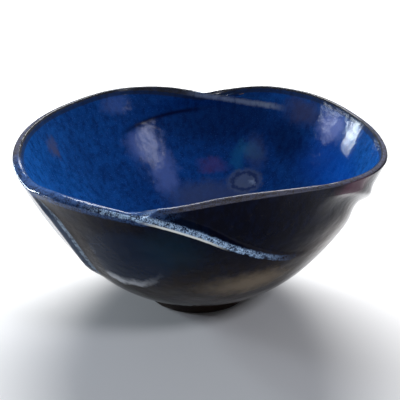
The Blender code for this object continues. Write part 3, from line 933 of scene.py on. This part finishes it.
def clay_look(grains):
    """Iron-flecked stoneware under the glaze."""
    look, tree, shader = new_look("stoneware", 0.3)
    spot = node(tree, "TexCoord").outputs["Object"]
    run = use(tree, grains, Vector=spot)
    colour = mixed(tree, run["Cloud"], CLAY_BROWN, CLAY_TAN)
    colour = mixed(tree, ease(tree, run["Speck"], 0.62, 0.72, 0.7), colour, CLAY_IRON)
    bump = node(tree, "Bump", None, Strength=0.5, Distance=0.0003, Height=run["Mottle"])
    plug(tree, shader.inputs["Base Color"], colour)
    plug(tree, shader.inputs["Roughness"], calc(tree, "MULTIPLY_ADD", run["Mottle"], 0.2, 0.6))
    plug(tree, shader.inputs["Normal"], bump.outputs["Normal"])
    return look


# ---- pieces --------------------------------------------------------------------------
def outer_glaze(look):
    """Dark glaze over the whole outside, a shell half a millimetre thick."""
    v = COLUMN_ANGLES
    rows = np.array([GLAZE_FOOT, *lower_rows()[LOWEST_GLAZED_ROW:], *upper_rows()[1:]])
    rings = np.concatenate([face(v, rows, "outer", 0.0),
                            face(v, rows[::-1], "outer", GLAZE)], axis=1)
    piece = ring_mesh("outer_glaze_coat", rings)
    mark(piece, np.zeros(len(piece.data.vertices)))
    piece.data.materials.append(look)
    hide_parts("outer_glaze")


def inner_glaze(look):
    """Blue glaze over the whole inside, a shell half a millimetre thick."""
    v = COLUMN_ANGLES
    rows = np.array([*lower_rows(), *upper_rows()[1:]])
    rings = np.concatenate([well(v, GLAZE)[:, ::-1], face(v, rows, "inner", GLAZE),
                            face(v, rows[::-1], "inner", 0.0), well(v, 0.0)], axis=1)
    piece = ring_mesh("inner_glaze_coat", rings, poles=True)
    mark(piece, np.ones(len(piece.data.vertices)))
    piece.data.materials.append(look)
    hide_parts("inner_glaze")


def lip_glaze(look):
    """Glaze that breaks brown over the lip, a cap along the whole rim."""
    v = COLUMN_ANGLES
    rows = np.linspace(GLAZE_TOP, LIP_START, LIP_WALL_ROWS)
    under = np.linspace(GLAZE_TOP, lip_start(GLAZE), LIP_WALL_ROWS)
    rings = np.concatenate([face(v, rows, "outer", 0.0), lip(v, 0.0),
                            face(v, rows[::-1], "inner", 0.0), face(v, under, "inner", GLAZE),
                            lip(v, GLAZE)[:, ::-1], face(v, under[::-1], "outer", GLAZE)], axis=1)
    piece = ring_mesh("lip_glaze_cap", rings)
    across = np.arange(1, LIP_STEPS) / LIP_STEPS
    inside = np.concatenate([0.0 * rows, across, 1.0 + 0.0 * rows])
    mark(piece, np.tile(np.append(inside, inside[::-1]), len(v)))
    piece.data.materials.append(look)
    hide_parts("lip_glaze")


def clay(look):
    """The clay under the glaze: the floor with the lower wall, and the two lobes."""
    v = COLUMN_ANGLES
    sink = GLAZE + GAP
    boss = FOOT_INNER - GAP
    under = ring_points(v, ((0.0, RECESS_HEIGHT), (boss, RECESS_HEIGHT), (boss, FOOT_HEIGHT)))
    bare = face(v, [0.0, GLAZE_FOOT - 2.0 * GLAZE_STEP], "outer", 0.0)
    outer_rows = [GLAZE_FOOT - GLAZE_STEP, *lower_rows()[LOWEST_GLAZED_ROW:]]
    outer = face(v, outer_rows, "outer", sink)
    inner = face(v, lower_rows()[::-1], "inner", sink)
    rings = np.concatenate([under, bare, outer, inner, well(v, sink)], axis=1)
    piece = ring_mesh("lower_bowl_clay", rings, poles=True)
    piece.data.materials.append(look)
    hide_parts("lower_bowl")
    whole = np.append(v, v[0] + 360.0)
    rows = np.array([SPLIT + SPLIT_GAP, *upper_rows()[1:], LIP_FOOT, lip_start(sink)])
    seam = int(np.searchsorted(v, BACK_CROSSING))
    for name, columns in (("right_lobe", whole[:seam + 1]), ("left_lobe", whole[seam:])):
        over = np.delete(lip(columns, sink), LIP_STEPS // 2 - 1, axis=1)
        rings = np.concatenate([face(columns, rows, "outer", sink), over,
                                face(columns, rows[::-1], "inner", sink)], axis=1)
        rings[0] += SEAM_SHARE * (rings[1] - rings[0])
        rings[-1] += SEAM_SHARE * (rings[-2] - rings[-1])
        piece = ring_mesh(name + "_clay", rings, closed=False)
        piece.data.materials.append(look)
        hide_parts(name)


def foot(look):
    """Turned foot: a ring with eased edges."""
    top = FOOT_HEIGHT - GAP
    low = FOOT_RADIUS - FOOT_TAPER
    outline = ((FOOT_INNER + FOOT_EASE, 0.0), (low - FOOT_EASE, 0.0), (low, FOOT_EASE),
               (FOOT_RADIUS, top), (FOOT_INNER, top), (FOOT_INNER, FOOT_EASE))
    piece = ring_mesh("turned_foot", ring_points(COLUMN_ANGLES, outline))
    piece.data.materials.append(look)
    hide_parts("foot_ring")


# ---- camera, floor and light ------------------------------------------------------------
def aim(thing, at):
    """Turn a camera or a lamp to look at a point."""
    thing.rotation_mode = "QUATERNION"
    thing.rotation_quaternion = (Vector(at) - thing.location).to_track_quat("-Z", "Y")


def softbox(name, place, size, watts, colour):
    """Soft rectangular lamp that lights the bowl from a place."""
    data = bpy.data.lights.new(name, "AREA")
    data.shape = "RECTANGLE"
    data.size, data.size_y = size
    data.energy = watts
    data.color = colour
    lamp = bpy.data.objects.new(name, data)
    scene.collection.objects.link(lamp)
    lamp.location = place
    aim(lamp, LAMPS_AT)


def camera():
    """Camera in front of the bowl, looking a little down into it."""
    data = bpy.data.cameras.new("camera")
    data.lens = LENS
    data.sensor_width = SENSOR
    data.shift_x, data.shift_y = CAMERA_SHIFT
    cam = bpy.data.objects.new("camera", data)
    scene.collection.objects.link(cam)
    up = np.radians(CAMERA_UP)
    centre = Vector(CAMERA_AT)
    back, rise = CAMERA_FAR * np.cos(up), CAMERA_FAR * np.sin(up)
    cam.location = centre + Vector((0.0, -back, rise))
    aim(cam, centre)
    scene.camera = cam


def studio():
    """Pale floor under the bowl, dim even light all round it, and four soft lamps."""
    world = bpy.data.worlds.new("studio")
    world.use_nodes = True
    background = world.node_tree.nodes["Background"]
    plug(world.node_tree, background.inputs["Color"], WORLD_COLOUR)
    plug(world.node_tree, background.inputs["Strength"], WORLD_STRENGTH)
    scene.world = world
    mesh = bpy.data.meshes.new("floor")
    low, high = -FLOOR_HALF, FLOOR_HALF
    mesh.from_pydata([(low, low, 0), (high, low, 0), (high, high, 0), (low, high, 0)],
                     [], [(0, 1, 2, 3)])
    floor = bpy.data.objects.new("floor", mesh)
    scene.collection.objects.link(floor)
    look, tree, shader = new_look("pale_floor", 0.2)
    plug(tree, shader.inputs["Base Color"], FLOOR_COLOUR)
    plug(tree, shader.inputs["Roughness"], 0.7)
    mesh.materials.append(look)
    for lamp in LAMPS:
        softbox(*lamp)


def main():
    """Build the shared glaze effects, then every piece, the camera and the studio."""
    place, grains, blot = place_group(), grain_group(), blot_group()
    groups = (inside_group(place, grains, blot), outside_group(place, grains, blot),
              rim_group(place, grains), skin_group(place, grains))
    outer_glaze(glaze_look("dark_glaze", groups))
    inner_glaze(glaze_look("cobalt_glaze", groups))
    lip_glaze(glaze_look("lip_glaze", groups))
    foot(foot_look(grains))
    clay(clay_look(grains))
    camera()
    studio()
    scene.view_settings.view_transform = "Standard"


main()
